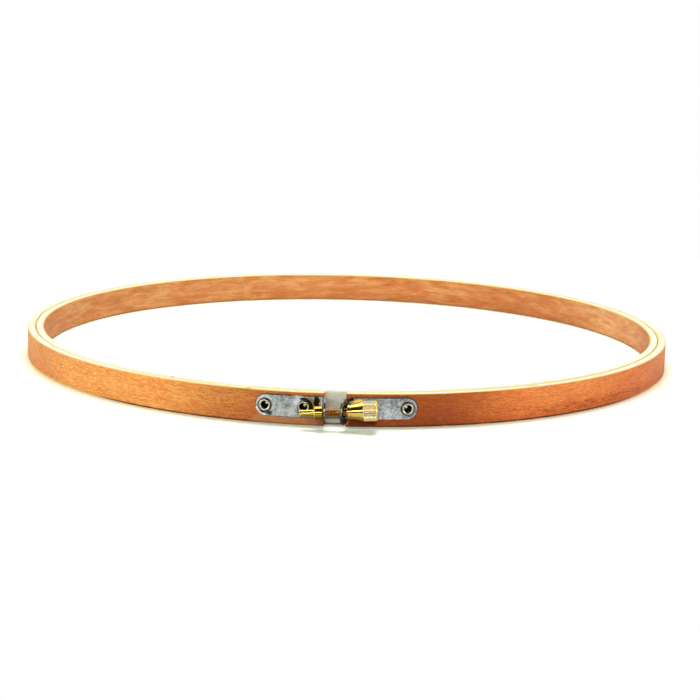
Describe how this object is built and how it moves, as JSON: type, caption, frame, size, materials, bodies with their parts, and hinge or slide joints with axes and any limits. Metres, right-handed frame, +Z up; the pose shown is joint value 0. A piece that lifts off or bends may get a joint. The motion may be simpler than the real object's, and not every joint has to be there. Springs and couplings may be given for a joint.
{
  "type": "embroidery hoop",
  "caption": "Round wooden embroidery hoop: split outer ring with riveted steel straps and a brass thumb screw, and a closed inner ring inside it.",
  "frame": {"origin": "on the rings' common axis, in the plane of their lower faces", "axes": "+Z up along the rings' axis; the gap of the outer ring, its straps and the screw are at -Y; the screw's knurled head points to +X"},
  "size_m": [0.2606, 0.2706, 0.0118],
  "materials": {
    "outer_wood": "thin clear varnish, satin",
    "inner_wood": "thin clear varnish, satin",
    "strap_steel": "bright zinc-plated, fine scratches",
    "rivet_metal": "nickel-plated, polished",
    "screw_brass": "turned and polished",
    "nut_brass": "turned and polished"
  },
  "bodies": {
    "outer_ring": {"outer_ring": "outer_wood", "left_bracket": "strap_steel", "right_bracket": "strap_steel", "left_near_rivet": "rivet_metal", "left_far_rivet": "rivet_metal", "right_near_rivet": "rivet_metal", "right_far_rivet": "rivet_metal"},
    "inner_ring": {"inner_ring": "inner_wood"},
    "thumb_screw": {"thumb_screw": "screw_brass"},
    "collar_nut": {"collar_nut": "nut_brass"}
  },
  "joints": [
    {"name": "inner_ring_lift", "type": "slide", "parent": "outer_ring", "child": "inner_ring", "axis": [0, 0, 1], "range_m": [0, 0.03]},
    {"name": "screw_turn", "type": "hinge", "parent": "outer_ring", "child": "thumb_screw", "pos_m": [0, -0.13565, 0.00635], "axis": [0.9978, 0, 0.0663], "range_deg": [0, 1080]},
    {"name": "nut_travel", "type": "slide", "parent": "outer_ring", "child": "collar_nut", "axis": [-0.9978, 0, -0.0663], "range_m": [0, 0.0015]}
  ],
  "couplings": [
    {"joint": "screw_turn", "follows": "nut_travel", "rad_per_m": 12566}
  ]
}
